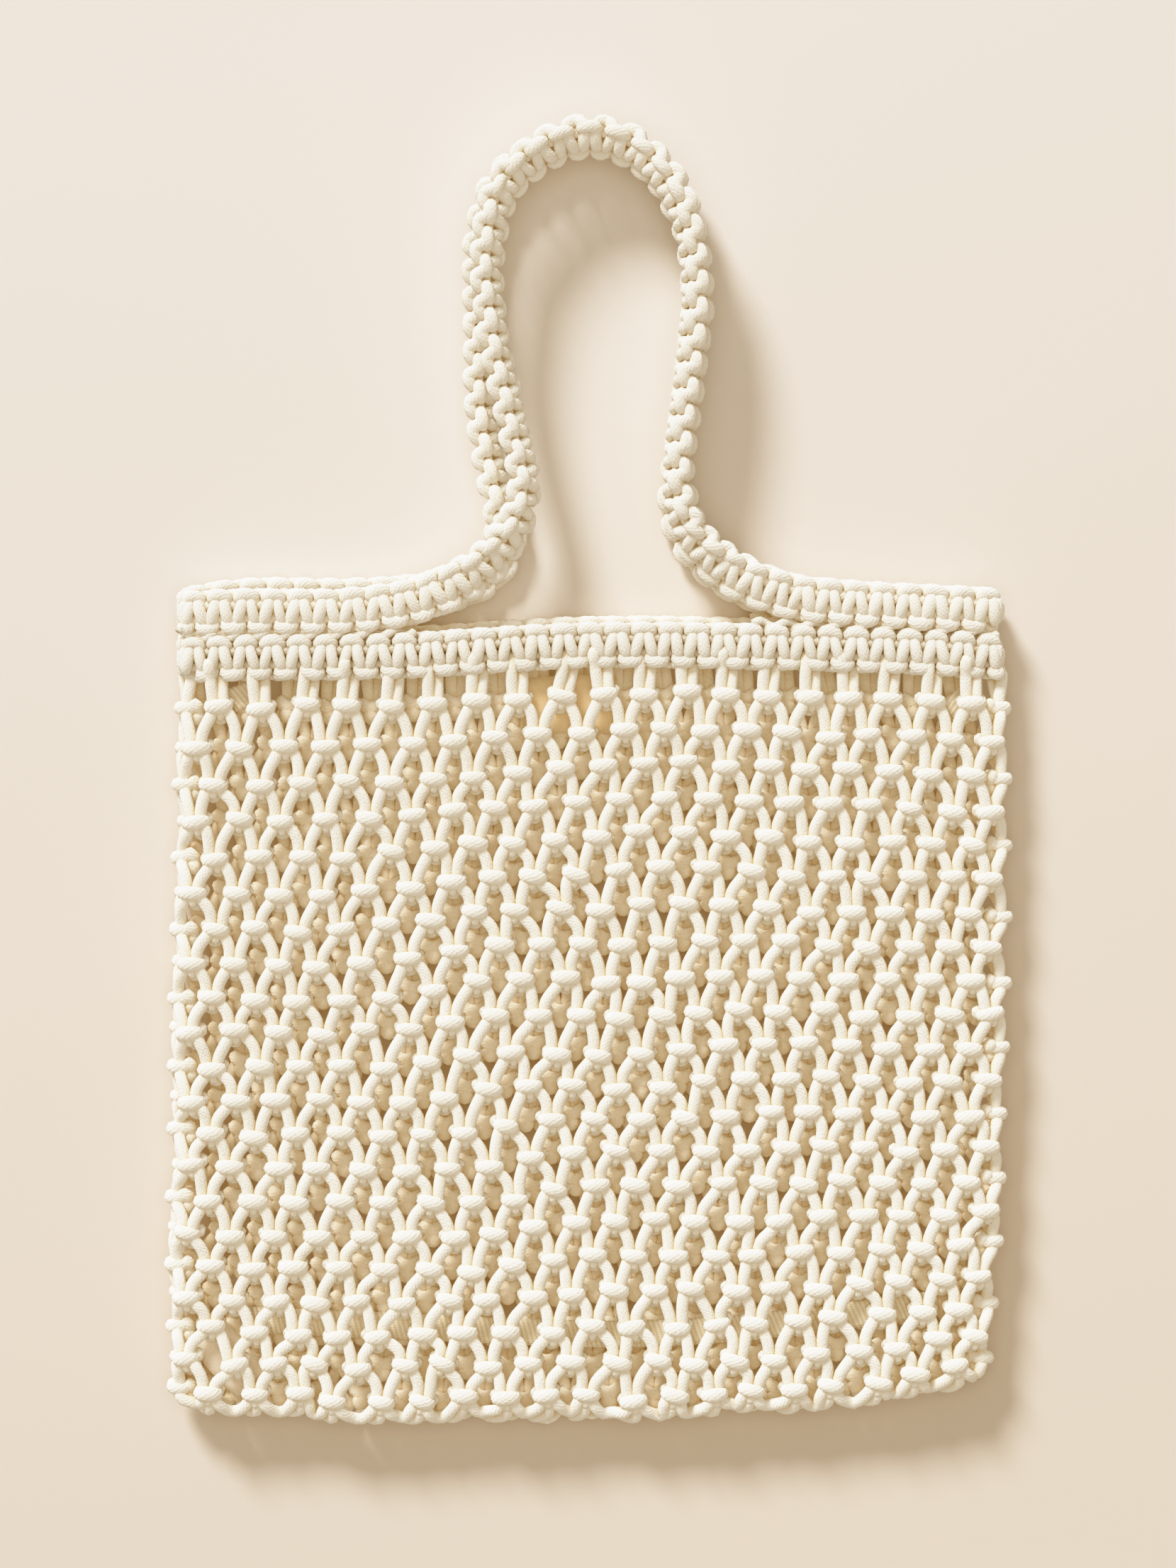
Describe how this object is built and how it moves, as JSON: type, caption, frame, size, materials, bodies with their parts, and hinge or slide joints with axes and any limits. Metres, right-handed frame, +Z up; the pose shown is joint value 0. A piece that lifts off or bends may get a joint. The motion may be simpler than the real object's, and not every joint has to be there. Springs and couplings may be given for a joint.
{
  "type": "macrame tote bag",
  "caption": "Flat-lying open-net tote bag knotted from cotton cord, with a knotted rim and two long looped handles for carrying shopping.",
  "frame": {"origin": "middle of the bag's footprint, on the surface that its back lies on", "axes": "+Z up through the bag from its back to its front, +Y from the bag's bottom to the handles, +X to the right as seen from the front"},
  "size_m": [0.3792, 0.5893, 0.0421],
  "materials": {
    "cotton_cord": "matte braided cotton",
    "woven_tape": "matte twill",
    "label_cloth": "smooth woven cloth",
    "label_satin": "satin"
  },
  "bodies": {
    "root": {"net_front": "cotton_cord", "net_back": "cotton_cord", "rim_front": "cotton_cord", "rim_back": "cotton_cord", "handle_front": "cotton_cord", "handle_back": "cotton_cord", "seam_tape": "woven_tape", "top_label": "label_cloth", "side_label": "label_satin"}
  },
  "joints": []
}
